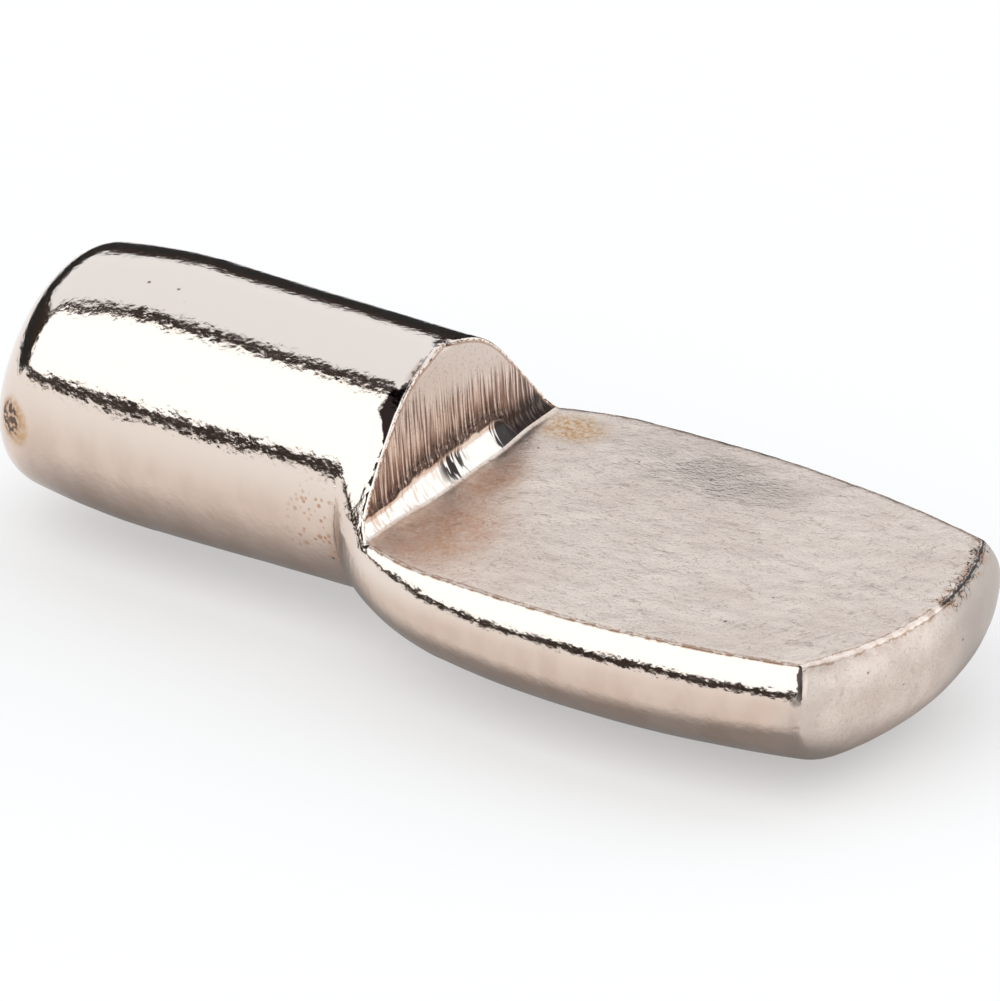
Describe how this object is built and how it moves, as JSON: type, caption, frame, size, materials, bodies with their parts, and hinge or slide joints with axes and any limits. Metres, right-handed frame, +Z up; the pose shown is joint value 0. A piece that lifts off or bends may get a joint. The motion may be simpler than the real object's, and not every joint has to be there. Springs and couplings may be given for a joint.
{
  "type": "shelf support pin",
  "caption": "Spoon-type shelf support pin: a round shank for a shelf hole and a flat-topped, round-bellied blade that carries the shelf.",
  "frame": {"origin": "on the shank's axis, in the plane of the cabinet wall, where the straight shank ends and the neck begins to spread", "axes": "+X along the shank's axis from its tip towards the blade's free end, +Z up out of the seat that the shelf lies on, +Y across the blade"},
  "size_m": [0.0247, 0.0102, 0.0068],
  "materials": {
    "nickel_plate": "bright nickel plate over forged steel, lightly pitted and spotted with rust"
  },
  "bodies": {
    "root": {"support_pin": "nickel_plate"}
  },
  "joints": []
}
